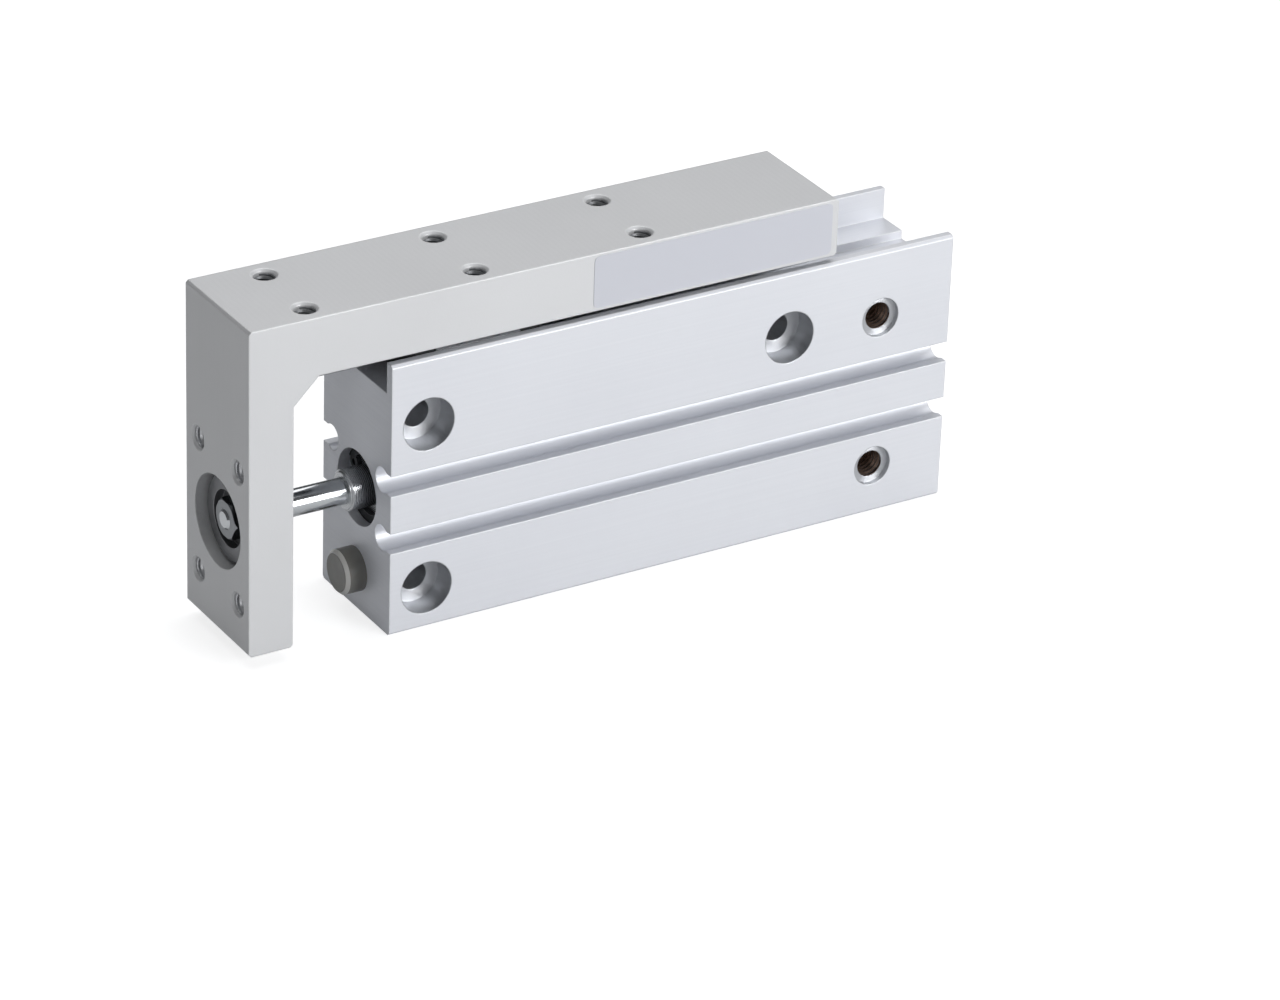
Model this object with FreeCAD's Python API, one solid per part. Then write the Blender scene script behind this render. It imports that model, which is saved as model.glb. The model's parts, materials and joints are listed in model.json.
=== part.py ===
import FreeCAD, Part
import math
import os
from FreeCAD import Vector

# Guided pneumatic cylinder: an L-shaped table slides on a ball guide let into the top of a
# rectangular cylinder body, and a rod joins the table's end plate to the piston below.
# Millimetres.  X runs along the stroke with the end plate at -X, Y across, Z up.  The origin is
# the middle of the footprint.  The table stands 12 mm out of its fully drawn-in position.

# Cylinder body
body_width = 20.0
body_height = 43.0
body_edge_chamfer = 0.4
bore_diameter = 10.0
bore_height = 19.4
rod_diameter = 4.0
stroke = 60.0
rest_extension = 12.0
stop_clearance = 0.05

# Sensor slots, two on each side
slot_spacing = 9.2
slot_mouth = 3.2
slot_round = 4.0
slot_round_depth = 2.5

# Guide channel along the top of the body
channel_wall = 1.5
channel_depth = 4.8
relief_width = 6.8
relief_depth = 1.3
relief_margin = 1.2

# Covers at both ends of the bore
cover_diameter = 11.6
front_cover_end = 11.0
head_pocket_length = 9.5
cover_gallery_diameter = 9.0
cover_gallery_length = 1.6
nose_diameter = 6.2
nose_projection = 2.4
ring_recess = 1.6
ring_thickness = 0.8
ring_play = 0.1
ring_groove_depth = 0.3
ring_band = 1.25
ring_lug_diameter = 2.2
ring_eye_diameter = 1.0
o_ring_section = 1.2
o_ring_groove_width = 1.5
rod_seal_diameter = 6.6
rod_seal_length = 2.2

# Piston
piston_front_length = 4.2
piston_magnet_length = 3.0
piston_rear_length = 1.8
piston_spigot_diameter = 6.0
piston_seal_width = 1.8
piston_seal_floor = 7.0
magnet_recess = 0.3
cushion_diameter = 7.2
cushion_thickness = 2.2
rod_stub_diameter = 3.0
rivet_diameter = 5.0
rivet_thickness = 1.0

# Ports and drilled passages
port_from_rear = 12.2
upper_port_height = 32.3
lower_port_height = 7.8
port_tap_diameter = 4.2
port_depth = 5.6
port_spot_diameter = 6.2
port_spot_depth = 0.8
orifice_thickness = 1.2
orifice_diameter = 3.2
orifice_bore = 0.8
passage_diameter = 2.0
passage_height = 28.6
link_diameter = 1.6
plug_diameter = 2.2
plug_recess = 0.3

# Body mounting holes
mount_from_front = 6.0
mount_pitch = 60.0
upper_mount_height = 32.6
lower_mount_height = 6.4
mount_hole_diameter = 4.3
mount_head_diameter = 8.2
mount_head_depth = 4.0
base_tap_diameter = 3.3
base_tap_depth = 6.0
base_tap_from_front = 16.0

# End bumper on the front of the body
bumper_diameter = 6.8
bumper_projection = 3.2
bumper_height = 6.3
bumper_stem_diameter = 3.2
bumper_stem_length = 2.6

# L-shaped slide table
table_width = 19.0
table_thickness = 9.0
table_rear_setback = 8.25
table_gap = 1.0
plate_thickness = 7.0
plate_ground_gap = 2.0
table_inner_chamfer = 4.0
table_edge_chamfer = 0.4
table_tap_diameter = 3.3
table_tap_from_front = 10.5
table_tap_pitch = 27.0
table_tap_rows = 3
table_tap_spacing = 12.0
plate_tap_diameter = 3.3
plate_tap_spacing_y = 12.0
plate_tap_spacing_z = 21.0
tap_countersink = 0.35

# Floating joint between the rod and the end plate
joint_pocket_diameter = 14.0
joint_pocket_depth = 3.8
joint_back_diameter = 9.0
joint_back_depth = 1.8
joint_float = 0.4
joint_axial_play = 0.05
bush_recess = 1.6
bush_barrel_diameter = 6.4
nut_pocket_diameter = 8.6
nut_pocket_depth = 1.4
nut_across_flats = 5.5
nut_height = 1.8
washer_thickness = 1.5

# Ball guide
rail_height = 4.2
rail_seat_depth = 0.5
rail_end_margin = 0.6
rail_screw_count = 4
rail_screw_margin = 4.5
rail_screw_diameter = 2.0
rail_screw_head_diameter = 3.6
rail_screw_head_height = 2.0
rail_screw_length = 5.2
screw_play = 0.1
block_setback = 4.8
block_steel_length = 13.6
block_side_gap = 0.2
block_arm_width = 4.8
block_height = 5.2
rail_gap = 0.2
block_floor_gap = 0.4
ball_diameter = 1.0
ball_pitch = 1.06
ball_play = 0.03
return_offset_y = 0.9
return_offset_z = 2.65
cap_length = 2.4
cap_step = 0.2
seal_length = 0.8
seal_rail_gap = 0.08
block_screw_pitch = 6.0
block_screw_diameter = 2.0
block_screw_head_diameter = 3.4
block_screw_head_height = 1.3
block_screw_thread = 3.0
block_screw_from_side = 1.95

# Running and seating clearances, all radial
bore_clearance = 0.05
rod_clearance = 0.03
seat_clearance = 0.02

# Worked out from the sizes above
piston_length = piston_front_length + piston_magnet_length + piston_rear_length
chamber_length = stroke + piston_length + 2 * cushion_thickness + 2 * stop_clearance
body_length = front_cover_end + chamber_length + head_pocket_length
rest_gap = bumper_projection + stop_clearance + rest_extension
overall_length = plate_thickness + rest_gap + body_length
plate_front = -overall_length / 2
plate_back = plate_front + plate_thickness
body_front = plate_back + rest_gap
body_rear = body_front + body_length
table_bottom = body_height + table_gap
table_top = table_bottom + table_thickness
table_rear = body_rear - rest_extension - table_rear_setback
channel_width = body_width - 2 * channel_wall
channel_floor = body_height - channel_depth

chamber_front = body_front + front_cover_end
chamber_rear = chamber_front + chamber_length
piston_rear_face = chamber_rear - stop_clearance - cushion_thickness - rest_extension
piston_front_face = piston_rear_face - piston_length

ring_groove_width = ring_thickness + ring_play
front_ring_start = body_front + ring_recess
rear_ring_start = body_rear - ring_recess - ring_groove_width
front_cover_start = front_ring_start + ring_groove_width
ring_groove_diameter = cover_diameter + 2 * ring_groove_depth
port_x = body_rear - port_from_rear
mount_x = body_front + mount_from_front

block_half_width = channel_width / 2 - block_side_gap
rail_width = 2 * (block_half_width - block_arm_width)
rail_start = plate_back + table_inner_chamfer + rail_end_margin
rail_length = table_rear - rail_end_margin - rail_start
rail_top = table_bottom + rail_seat_depth
rail_bottom = rail_top - rail_height
rail_screw_pitch = (rail_length - 2 * rail_screw_margin) / (rail_screw_count - 1)
ball_y = rail_width / 2 + rail_gap
ball_z = rail_bottom + rail_height * 0.4
return_y = ball_y + return_offset_y
return_z = ball_z - return_offset_z
block_top = channel_floor + block_height
block_start = body_front + block_setback + seal_length + cap_length
block_end = block_start + block_steel_length
block_screw_y = block_half_width - block_screw_from_side


def bar_x(start, length, diameter, y=0.0, z=bore_height):
    """Round bar pointing along +X, with its seam turned away from the drillings that cross it."""
    bar = Part.makeCylinder(diameter / 2, length, Vector(start, y, z), Vector(1, 0, 0))
    bar.rotate(Vector(start, y, z), Vector(1, 0, 0), 50)
    return bar


def bar_y(start, length, diameter, x, z):
    """Round bar pointing along +Y."""
    return Part.makeCylinder(diameter / 2, length, Vector(x, start, z), Vector(0, 1, 0))


def bar_z(start, length, diameter, x, y):
    """Round bar pointing along +Z."""
    return Part.makeCylinder(diameter / 2, length, Vector(x, y, start), Vector(0, 0, 1))


def block(x0, x1, y0, y1, z0, z1):
    """Rectangular block between two corners."""
    return Part.makeBox(x1 - x0, y1 - y0, z1 - z0, Vector(x0, y0, z0))


def turned(outline):
    """Ring or plug turned about the bore axis from its (x, radius) corners."""
    corners = [Vector(x, 0, bore_height + radius) for x, radius in outline]
    section = Part.Face(Part.makePolygon(corners + corners[:1]))
    return section.revolve(Vector(0, 0, bore_height), Vector(1, 0, 0), 360)


def prism_x(start, length, corners):
    """Bar of constant section along +X from its (y, z) corners."""
    points = [Vector(start, y, z) for y, z in corners]
    return Part.Face(Part.makePolygon(points + points[:1])).extrude(Vector(length, 0, 0))


def drill(start, end, diameter):
    """Straight drilling between two points."""
    return Part.makeCylinder(diameter / 2, (end - start).Length, start, end - start)


def countersink(mouth, inward, diameter):
    """Cone that breaks the edge of a tapped hole at its mouth."""
    wide = diameter / 2 + tap_countersink
    return Part.makeCone(wide, diameter / 2, tap_countersink, mouth, inward)


def hexagon_x(start, length, across_flats, y=0.0, z=bore_height):
    """Hexagonal bar along +X with two flats facing up and down."""
    corner = across_flats / math.sqrt(3)
    turns = [math.radians(60 * step) for step in range(6)]
    return prism_x(start, length, [(y + corner * math.cos(a), z + corner * math.sin(a)) for a in turns])


def hexagon_z(start, length, across_flats, x, y):
    """Hexagonal bar along +Z."""
    corner = across_flats / math.sqrt(3)
    turns = [math.radians(60 * step) for step in range(6)]
    points = [Vector(x + corner * math.cos(a), y + corner * math.sin(a), start) for a in turns]
    return Part.Face(Part.makePolygon(points + points[:1])).extrude(Vector(0, 0, length))


def cut_all(shape, tools):
    """Shape with every tool cut out of it."""
    return shape.cut(Part.makeCompound(tools)) if tools else shape


def joined(shapes):
    """One solid out of shapes that touch or overlap."""
    return shapes[0].multiFuse(shapes[1:]).removeSplitter()


# ---- cylinder body ------------------------------------------------------------------------

def sensor_slots():
    """Round-bottomed sensor slots along both sides of the body, level above and below the bore."""
    tools = []
    for side in (-1, 1):
        for level in (-1, 1):
            z = bore_height + level * slot_spacing / 2
            y = side * (body_width / 2 - slot_round_depth)
            tools.append(bar_x(body_front, body_length, slot_round, y, z))
            edge = side * body_width / 2
            low_y, high_y = min(y, edge), max(y, edge)
            tools.append(block(body_front, body_rear, low_y, high_y, z - slot_mouth / 2, z + slot_mouth / 2))
    return tools


def bore_and_pockets():
    """Piston bore with a cover pocket and a retaining ring groove at each end."""
    rear_pocket_length = body_rear - chamber_rear
    return [
        bar_x(body_front, body_length, bore_diameter),
        bar_x(body_front, front_cover_end, cover_diameter),
        bar_x(chamber_rear, rear_pocket_length, cover_diameter),
        bar_x(front_ring_start, ring_groove_width, ring_groove_diameter),
        bar_x(rear_ring_start, ring_groove_width, ring_groove_diameter),
    ]


def mounting_holes():
    """Counterbored side holes and the tapped holes in the underside."""
    tools = []
    places = [(mount_x, upper_mount_height), (mount_x, lower_mount_height)]
    places.append((mount_x + mount_pitch, upper_mount_height))
    for x, z in places:
        tools.append(bar_y(-body_width / 2, body_width, mount_hole_diameter, x, z))
        tools.append(bar_y(-body_width / 2, mount_head_depth, mount_head_diameter, x, z))
    for step in (0, 1):
        x = body_front + base_tap_from_front + step * mount_pitch
        tools.append(bar_z(0, base_tap_depth, base_tap_diameter, x, 0))
    return tools


def port_and_passages():
    """Two ports on the -Y side, each with its drilled way to one end of the bore."""
    tools = []
    port_bottom = port_depth - body_width / 2
    for z in (upper_port_height, lower_port_height):
        tools.append(bar_y(-body_width / 2, port_depth, port_tap_diameter, port_x, z))
        tools.append(bar_y(-body_width / 2, port_spot_depth, port_spot_diameter, port_x, z))
        tools.append(bar_y(port_bottom, orifice_thickness, orifice_diameter, port_x, z))
    gallery_x = chamber_front - cover_gallery_length / 2
    upper_bottom = Vector(port_x, port_bottom + orifice_thickness, upper_port_height)
    lower_bottom = Vector(port_x, port_bottom + orifice_thickness, lower_port_height)
    tools.append(drill(upper_bottom, Vector(port_x, 0, passage_height), link_diameter))
    tools.append(drill(lower_bottom, Vector(chamber_rear - link_diameter, 0, bore_height), link_diameter))
    tools.append(bar_x(gallery_x, body_rear - gallery_x, passage_diameter, 0, passage_height))
    tools.append(bar_x(body_rear - plug_diameter, plug_diameter, plug_diameter, 0, passage_height))
    tools.append(bar_z(bore_height, channel_floor - bore_height, link_diameter, gallery_x, 0))
    tools.append(bar_z(channel_floor - plug_diameter, plug_diameter, plug_diameter, gallery_x, 0))
    return tools


def cylinder_body():
    """Extruded aluminium body with its slots, guide channel, bore, ports and holes."""
    half = body_width / 2
    c = body_edge_chamfer
    w = channel_width / 2
    top = body_height
    outline = [(-half + c, 0), (half - c, 0), (half, c), (half, top - c), (half - c, top), (w, top)]
    outline += [(w, channel_floor), (-w, channel_floor), (-w, top), (-half + c, top)]
    outline += [(-half, top - c), (-half, c)]
    shape = prism_x(body_front, body_length, outline)
    relief_start = block_end + cap_length + seal_length + relief_margin
    relief_low = channel_floor - relief_depth
    relief = block(relief_start, body_rear, -relief_width / 2, relief_width / 2, relief_low, channel_floor)
    for tools in ([relief], sensor_slots(), bore_and_pockets(), mounting_holes(), port_and_passages()):
        shape = cut_all(shape, tools)
    tools = []
    stem_pocket = bumper_stem_length + seat_clearance
    tools.append(bar_x(body_front, stem_pocket, bumper_stem_diameter, 0, bumper_height))
    for x, y in block_screw_places():
        tools.append(bar_z(channel_floor - block_screw_thread, block_screw_thread, block_screw_diameter, x, y))
    return cut_all(shape, tools)


def block_screw_places():
    """The four screws that hold the guide block down, as (x, y)."""
    middle = (block_start + block_end) / 2
    offset = block_screw_pitch / 2
    return [(middle + i * offset, j * block_screw_y) for i in (-1, 1) for j in (-1, 1)]


def rod_cover():
    """Turned cover with the rod bore, a seal groove inside, an O-ring groove outside and a nose."""
    outer = cover_diameter / 2 - seat_clearance
    groove_floor = cover_diameter / 2 - o_ring_section
    inner = rod_diameter / 2 + rod_clearance
    start = front_cover_start
    gallery = chamber_front - cover_gallery_length
    groove = gallery - 1.0 - o_ring_groove_width
    nose_end = body_front - nose_projection
    outline = [(nose_end, inner), (nose_end, nose_diameter / 2 - 0.4), (nose_end + 0.4, nose_diameter / 2)]
    outline += [(start, nose_diameter / 2), (start, outer), (groove, outer), (groove, groove_floor)]
    outline += [(groove + o_ring_groove_width, groove_floor), (groove + o_ring_groove_width, outer)]
    outline += [(gallery, outer), (gallery, cover_gallery_diameter / 2)]
    outline += [(chamber_front, cover_gallery_diameter / 2), (chamber_front, inner)]
    seal_start = rod_seal_start()
    seal_pocket = bar_x(seal_start, rod_seal_length, rod_seal_diameter)
    return turned(outline).cut(seal_pocket)


def rod_seal_start():
    """Front end of the rod seal's groove, near the middle of the rod cover."""
    return front_cover_start + 1.2


def rod_seal():
    """Lip seal round the rod, with a V-shaped mouth towards the pressure."""
    outer = rod_seal_diameter / 2 - seat_clearance
    inner = rod_diameter / 2 + rod_clearance
    start = rod_seal_start() + seat_clearance
    end = start + rod_seal_length - 2 * seat_clearance
    middle = (outer + inner) / 2
    outline = [(start, inner), (start, outer), (end, outer), (end, outer - 0.3)]
    outline += [(end - 1.1, middle), (end, inner + 0.3), (end, inner)]
    return turned(outline)


def o_ring(groove_start):
    """O-ring squeezed flat inside and outside between a cover's groove and the pocket wall."""
    outer = cover_diameter / 2 - seat_clearance
    inner = cover_diameter / 2 - o_ring_section + seat_clearance
    middle = (outer + inner) / 2
    centre = groove_start + o_ring_groove_width / 2
    bulge = o_ring_section / 2
    flat = o_ring_section / 4
    outline = [(centre - bulge, middle), (centre - flat, outer), (centre + flat, outer)]
    outline += [(centre + bulge, middle), (centre + flat, inner), (centre - flat, inner)]
    return turned(outline)


def rod_cover_o_ring():
    """O-ring on the rod cover."""
    return o_ring(chamber_front - cover_gallery_length - 1.0 - o_ring_groove_width)


def head_cover():
    """Solid plug that closes the rear end of the bore."""
    outer = cover_diameter / 2 - seat_clearance
    groove_floor = cover_diameter / 2 - o_ring_section
    gallery = chamber_rear + cover_gallery_length
    groove = gallery + 0.8
    groove_end = groove + o_ring_groove_width
    outline = [(chamber_rear, 0), (chamber_rear, cover_gallery_diameter / 2)]
    outline += [(gallery, cover_gallery_diameter / 2), (gallery, outer), (groove, outer)]
    outline += [(groove, groove_floor), (groove_end, groove_floor), (groove_end, outer)]
    outline += [(rear_ring_start, outer), (rear_ring_start, 0)]
    return turned(outline)


def head_cover_o_ring():
    """O-ring on the head cover."""
    return o_ring(chamber_rear + cover_gallery_length + 0.8)


def retaining_ring(start):
    """Internal retaining ring: an open band with an eyed lug at each end of its gap."""
    outer = ring_groove_diameter - 2 * seat_clearance
    band = bar_x(start, ring_thickness, outer)
    band = band.cut(bar_x(start, ring_thickness, cover_diameter - 2 * ring_band))
    lug_radius = cover_diameter / 2 - ring_lug_diameter / 2 - 0.25
    spread = math.radians(24)
    gap = [(0, bore_height)]
    for angle in (-spread, spread):
        gap.append((outer * math.cos(angle), bore_height + outer * math.sin(angle)))
    band = band.cut(prism_x(start, ring_thickness, gap))
    lugs = []
    eyes = []
    for angle in (-spread, spread):
        y = lug_radius * math.cos(angle)
        z = bore_height + lug_radius * math.sin(angle)
        lugs.append(bar_x(start, ring_thickness, ring_lug_diameter, y, z))
        eyes.append(bar_x(start, ring_thickness, ring_eye_diameter, y, z))
    return cut_all(joined([band] + lugs), eyes)


def front_retaining_ring():
    """Retaining ring in front of the rod cover."""
    return retaining_ring(front_cover_start - ring_thickness)


def rear_retaining_ring():
    """Retaining ring behind the head cover."""
    return retaining_ring(rear_ring_start)


def end_bumper():
    """Urethane stop for the end plate, pressed into the front of the body by its stem."""
    head = bar_x(body_front - bumper_projection, bumper_projection, bumper_diameter, 0, bumper_height)
    front_edge = [edge for edge in head.Edges if edge.BoundBox.XMax < body_front - bumper_projection / 2]
    head = head.makeChamfer(0.5, front_edge[:1])
    stem = bar_x(body_front, bumper_stem_length, bumper_stem_diameter - 2 * seat_clearance, 0, bumper_height)
    return joined([head, stem])


def port_orifices():
    """Brass orifice discs pressed in below the threads of both ports."""
    discs = []
    start = port_depth - body_width / 2
    for z in (upper_port_height, lower_port_height):
        disc = bar_y(start, orifice_thickness, orifice_diameter - 2 * seat_clearance, port_x, z)
        discs.append(disc.cut(bar_y(start, orifice_thickness, orifice_bore, port_x, z)))
    return Part.makeCompound(discs)


def passage_plugs():
    """Steel pins pressed into the two construction drillings of the front passage."""
    pin = plug_diameter - 2 * seat_clearance
    gallery_x = chamber_front - cover_gallery_length / 2
    rear = bar_x(body_rear - plug_diameter, plug_diameter - plug_recess, pin, 0, passage_height)
    top = bar_z(channel_floor - plug_diameter, plug_diameter - plug_recess, pin, gallery_x, 0)
    return Part.makeCompound([rear, top])


# ---- ball guide ---------------------------------------------------------------------------

def carriage_section(gap, floor_gap, half_width, top):
    """U-shaped section round the rail, as (y, z) corners."""
    slot = rail_width / 2 + gap
    floor = rail_bottom - floor_gap
    low = channel_floor
    c = 0.5
    corners = [(-half_width, low), (half_width, low), (half_width, top - c), (half_width - c, top)]
    corners += [(slot, top), (slot, floor), (-slot, floor), (-slot, top)]
    corners += [(-half_width + c, top), (-half_width, top - c)]
    return corners


def guide_block():
    """Hardened carriage fixed in the body's channel, with ball tracks and return holes."""
    length = block_steel_length
    section = carriage_section(2 * rail_gap, block_floor_gap, block_half_width, block_top)
    shape = prism_x(block_start, length, section)
    tools = []
    for side in (-1, 1):
        track = ball_diameter + 2 * ball_play
        tools.append(bar_x(block_start, length, track, side * ball_y, ball_z))
        tools.append(bar_x(block_start, length, track, side * return_y, return_z))
    head_seat = block_top - block_screw_head_height - screw_play
    for x, y in block_screw_places():
        tools.append(bar_z(channel_floor, block_height, block_screw_diameter + 2 * screw_play, x, y))
        head = block_screw_head_diameter + 2 * screw_play
        tools.append(bar_z(head_seat, block_top - head_seat, head, x, y))
    return cut_all(shape, tools)


def guide_end_caps():
    """Moulded caps that turn the balls round from track to return hole."""
    caps = []
    track = ball_diameter + 2 * ball_play
    for start, pocket in ((block_start - cap_length, block_start - track), (block_end, block_end)):
        section = carriage_section(2 * rail_gap, block_floor_gap, block_half_width - cap_step, block_top - cap_step)
        cap = prism_x(start, cap_length, section)
        tools = []
        for side in (-1, 1):
            tools.append(bar_x(pocket, track, track, side * ball_y, ball_z))
            tools.append(bar_x(pocket, track, track, side * return_y, return_z))
            tools.append(turn_slot(pocket, track, side))
        caps.append(cut_all(cap, tools))
    return Part.makeCompound(caps)


def turn_slot(start, width, side):
    """Straight slot that joins a ball track to its return hole inside an end cap."""
    run = Vector(0, side * (return_y - ball_y), return_z - ball_z)
    across = Vector(0, -run.z, run.y).normalize() * (width / 2)
    top = Vector(start, side * ball_y, ball_z)
    corners = [top - across, top + across, top + run + across, top + run - across]
    return Part.Face(Part.makePolygon(corners + corners[:1])).extrude(Vector(width, 0, 0))


def guide_end_seals():
    """Thin wiper plates outside the end caps, close round the rail."""
    seals = []
    for start in (block_start - cap_length - seal_length, block_end + cap_length):
        section = carriage_section(seal_rail_gap, seal_rail_gap, block_half_width - cap_step, block_top - cap_step)
        seals.append(prism_x(start, seal_length, section))
    return Part.makeCompound(seals)


def ball(x, y, z):
    """Bearing ball drawn as the 26-sided solid that just fits inside its sphere."""
    side = ball_diameter * (1 + math.sqrt(2)) / math.sqrt(5 + 2 * math.sqrt(2))
    cube = block(x - side / 2, x + side / 2, y - side / 2, y + side / 2, z - side / 2, z + side / 2)
    return cube.makeChamfer(side * (1 - math.sqrt(0.5)), cube.Edges)


def ball_row(y, z):
    """Balls spread evenly through the length of the steel carriage."""
    count = int((block_steel_length - ball_diameter) / ball_pitch) + 1
    first = (block_start + block_end - (count - 1) * ball_pitch) / 2
    return [ball(first + i * ball_pitch, y, z) for i in range(count)]


def guide_balls():
    """Loaded balls between the carriage and the rail."""
    return Part.makeCompound(ball_row(-ball_y, ball_z) + ball_row(ball_y, ball_z))


def guide_return_balls():
    """Unloaded balls in the return holes of the carriage."""
    return Part.makeCompound(ball_row(-return_y, return_z) + ball_row(return_y, return_z))


def guide_block_screws():
    """Low-head screws down through the carriage into the body."""
    screws = []
    seat = block_top - block_screw_head_height - screw_play
    bottom = channel_floor - block_screw_thread
    for x, y in block_screw_places():
        head = bar_z(seat, block_screw_head_height, block_screw_head_diameter, x, y)
        shank = bar_z(bottom, seat - bottom, block_screw_diameter, x, y)
        socket = hexagon_z(seat + 0.4, block_screw_head_height, 1.5, x, y)
        screws.append(joined([head, shank]).cut(socket))
    return Part.makeCompound(screws)


def rail_screw_stations():
    """X positions of the screws along the rail."""
    return [rail_start + rail_screw_margin + i * rail_screw_pitch for i in range(rail_screw_count)]


def guide_rail():
    """Profiled rail fixed upside down under the table, with a ball groove along each side."""
    half = rail_width / 2
    c = 0.3
    section = [(-half, rail_top), (-half, rail_bottom + c), (-half + c, rail_bottom)]
    section += [(half - c, rail_bottom), (half, rail_bottom + c), (half, rail_top)]
    shape = prism_x(rail_start, rail_length, section)
    tools = []
    for side in (-1, 1):
        tools.append(bar_x(rail_start, rail_length, ball_diameter + 2 * ball_play, side * ball_y, ball_z))
    for x in rail_screw_stations():
        tools.append(bar_z(rail_bottom, rail_height, rail_screw_diameter + 2 * screw_play, x, 0))
        head_depth = rail_screw_head_height + screw_play
        tools.append(bar_z(rail_bottom, head_depth, rail_screw_head_diameter + 2 * screw_play, x, 0))
    return cut_all(shape, tools)


def rail_screws():
    """Socket head screws up through the rail into the table."""
    screws = []
    seat = rail_bottom + rail_screw_head_height + screw_play
    for x in rail_screw_stations():
        head = bar_z(seat - rail_screw_head_height, rail_screw_head_height, rail_screw_head_diameter, x, 0)
        shank = bar_z(seat, rail_screw_length, rail_screw_diameter, x, 0)
        socket = hexagon_z(seat - rail_screw_head_height, rail_screw_head_height / 2, 1.5, x, 0)
        screws.append(joined([head, shank]).cut(socket))
    return Part.makeCompound(screws)


# ---- sliding table and rod ----------------------------------------------------------------

def slide_table():
    """L-shaped table: top plate, end plate and the chamfer in the corner between them."""
    c = table_edge_chamfer
    k = table_inner_chamfer
    low = plate_ground_gap
    outline = [(plate_front, low + c), (plate_front + c, low), (plate_back - c, low), (plate_back, low + c)]
    outline += [(plate_back, table_bottom - k), (plate_back + k, table_bottom), (table_rear - c, table_bottom)]
    outline += [(table_rear, table_bottom + c), (table_rear, table_top - c), (table_rear - c, table_top)]
    outline += [(plate_front + c, table_top), (plate_front, table_top - c)]
    half = table_width / 2
    points = [Vector(x, -half, z) for x, z in outline]
    shape = Part.Face(Part.makePolygon(points + points[:1])).extrude(Vector(0, table_width, 0))
    tools = [rail_seat()] + table_holes() + plate_holes()
    return cut_all(shape, tools)


def rail_seat():
    """Shallow groove under the table that locates the rail."""
    half = rail_width / 2 + seat_clearance
    return block(rail_start - rail_end_margin / 2, table_rear, -half, half, table_bottom, rail_top)


def table_holes():
    """Tapped work holes through the top plate and the blind holes for the rail screws."""
    tools = []
    for row in range(table_tap_rows):
        x = plate_front + table_tap_from_front + row * table_tap_pitch
        for side in (-1, 1):
            y = side * table_tap_spacing / 2
            tools.append(bar_z(table_bottom, table_thickness, table_tap_diameter, x, y))
            tools.append(countersink(Vector(x, y, table_top), Vector(0, 0, -1), table_tap_diameter))
    seat = rail_bottom + rail_screw_head_height + screw_play
    reach = rail_screw_length + screw_play
    for x in rail_screw_stations():
        tools.append(bar_z(seat, reach, rail_screw_diameter, x, 0))
    return tools


def plate_holes():
    """Tapped work holes in the end plate and the stepped hole for the floating joint."""
    tools = []
    for i in (-1, 1):
        for j in (-1, 1):
            y = i * plate_tap_spacing_y / 2
            z = bore_height + j * plate_tap_spacing_z / 2
            tools.append(bar_x(plate_front, plate_thickness, plate_tap_diameter, y, z))
            tools.append(countersink(Vector(plate_front, y, z), Vector(1, 0, 0), plate_tap_diameter))
    barrel_hole = bush_barrel_diameter + 2 * joint_float
    tools.append(bar_x(plate_front, joint_pocket_depth, joint_pocket_diameter))
    tools.append(bar_x(plate_front, plate_thickness, barrel_hole))
    tools.append(bar_x(plate_back - joint_back_depth, joint_back_depth, joint_back_diameter))
    return tools


def washer_face():
    """X of the washer's front face, just behind the end plate's web."""
    return plate_back - joint_back_depth + joint_axial_play


def rod_shoulder():
    """X of the rod's shoulder behind the floating joint."""
    return washer_face() + washer_thickness


def rod_end_bush():
    """Floating bush: a wide flange with a pocket for the nut and a barrel through the plate."""
    flange = joint_pocket_diameter / 2 - joint_float
    front = plate_front + bush_recess
    seat = plate_front + joint_pocket_depth
    pocket_floor = front + nut_pocket_depth
    inner = rod_stub_diameter / 2 + seat_clearance
    outline = [(pocket_floor, inner), (pocket_floor, nut_pocket_diameter / 2), (front, nut_pocket_diameter / 2)]
    outline += [(front, flange - 0.3), (front + 0.3, flange), (seat, flange)]
    outline += [(seat, bush_barrel_diameter / 2), (washer_face(), bush_barrel_diameter / 2), (washer_face(), inner)]
    return turned(outline)


def rod_end_washer():
    """Washer between the bush and the rod's shoulder, inside the plate's rear recess."""
    outer = joint_back_diameter / 2 - joint_float
    inner = rod_stub_diameter / 2 + seat_clearance
    start = washer_face()
    end = rod_shoulder()
    return turned([(start, inner), (start, outer), (end, outer), (end, inner)])


def nut_seat():
    """X of the floor of the bush's pocket."""
    return plate_front + bush_recess + nut_pocket_depth


def rod_end_nut():
    """Thin hexagon nut on the rod's threaded end."""
    start = nut_seat() - nut_height
    nut = hexagon_x(start, nut_height, nut_across_flats)
    corner = nut_across_flats / math.sqrt(3)
    cone = turned([(start, 0), (start, corner - 0.35), (start + 0.35, corner), (nut_seat(), corner), (nut_seat(), 0)])
    hole = rod_stub_diameter + 2 * seat_clearance
    return nut.common(cone).cut(bar_x(start, nut_height, hole))


def piston_rod():
    """Ground rod with a threaded end at the plate and a riveted end behind the piston."""
    rod = rod_diameter / 2
    stub = rod_stub_diameter / 2
    tip = nut_seat() - nut_height - 0.3
    rivet_end = piston_rear_face + rivet_thickness
    outline = [(tip, 0), (tip, stub - 0.3), (tip + 0.3, stub), (rod_shoulder(), stub), (rod_shoulder(), rod - 0.2)]
    outline += [(rod_shoulder() + 0.2, rod), (piston_front_face, rod), (piston_front_face, stub)]
    outline += [(piston_rear_face, stub), (piston_rear_face, rivet_diameter / 2)]
    outline += [(rivet_end - 0.3, rivet_diameter / 2), (rivet_end, rivet_diameter / 2 - 0.5), (rivet_end, 0)]
    return turned(outline)


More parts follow.
